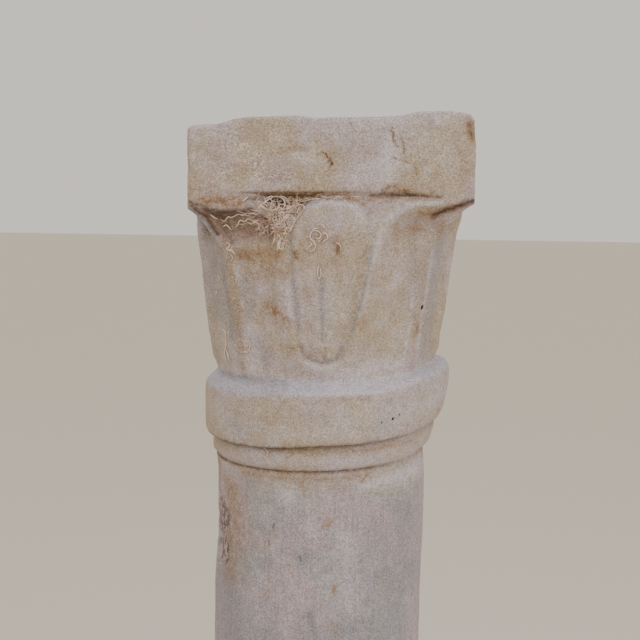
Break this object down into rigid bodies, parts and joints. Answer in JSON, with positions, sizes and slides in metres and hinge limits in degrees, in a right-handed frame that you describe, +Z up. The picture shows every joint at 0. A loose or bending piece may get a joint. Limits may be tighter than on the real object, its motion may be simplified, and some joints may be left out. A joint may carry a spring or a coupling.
{
  "type": "marble column",
  "caption": "Small free-standing marble column in one block: square plinth, round shaft, collar, bell of plain corner leaves and sunk tongues, and a square abacus.",
  "frame": {"origin": "centre of the plinth's underside, on the ground", "axes": "+Z up along the shaft, +X to the right and -Y towards the viewer of the column's front"},
  "size_m": [0.19, 0.19, 0.9998],
  "materials": {
    "marble": "weathered pinkish grey marble, matt, with mineral stains and fine root marks"
  },
  "bodies": {
    "root": {"marble_column": "marble"}
  },
  "joints": []
}
